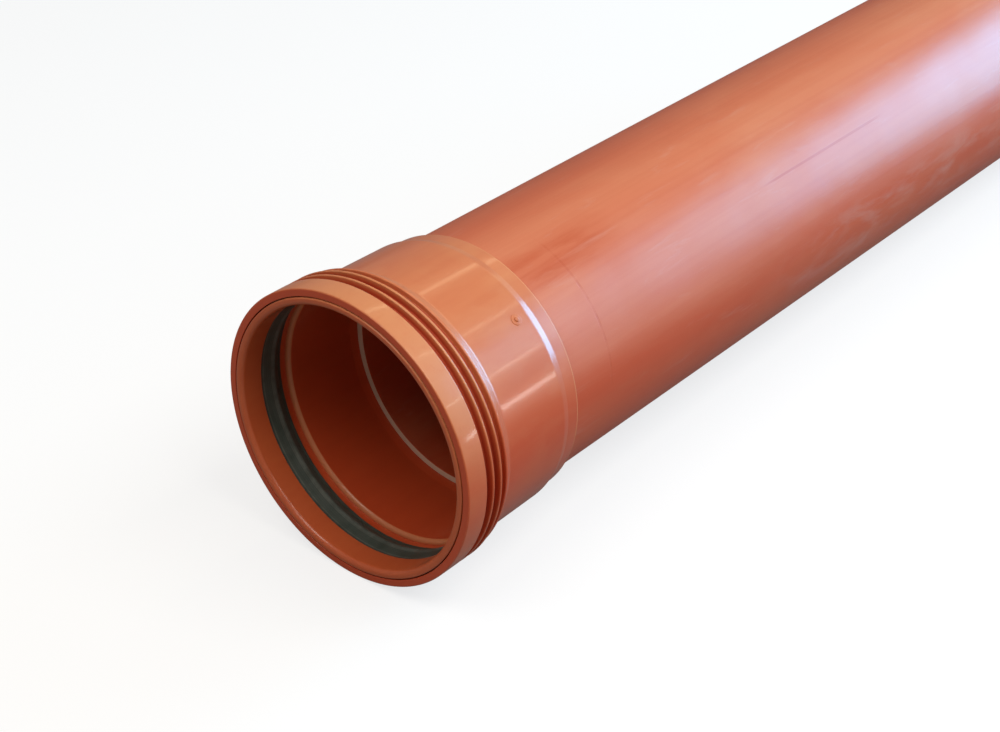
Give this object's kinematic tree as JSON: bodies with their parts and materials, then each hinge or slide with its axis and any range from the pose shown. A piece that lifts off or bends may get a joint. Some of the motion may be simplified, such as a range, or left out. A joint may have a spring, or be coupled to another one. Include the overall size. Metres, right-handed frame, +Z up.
{
  "type": "plastic sewer pipe",
  "caption": "Push-fit plastic sewer pipe with a ribbed socket, a retaining ring and a rubber seal at one end and a bevelled spigot at the other.",
  "frame": {"origin": "on the floor, below the middle of the pipe's length", "axes": "+X from the socket towards the spigot, leaning down by the pipe's own rest angle of under one degree; +Z up"},
  "size_m": [1.1214, 0.229, 0.2294],
  "materials": {
    "pipe_plastic": "extruded orange-brown plastic, satin, dusty",
    "socket_plastic": "injection-moulded orange-brown plastic, semi-gloss",
    "ring_plastic": "injection-moulded orange-brown plastic, semi-gloss",
    "seal_rubber": "moulded black-green rubber, satin"
  },
  "bodies": {
    "root": {"pipe": "pipe_plastic", "socket": "socket_plastic", "retaining_ring": "ring_plastic", "seal_ring": "seal_rubber"}
  },
  "joints": []
}
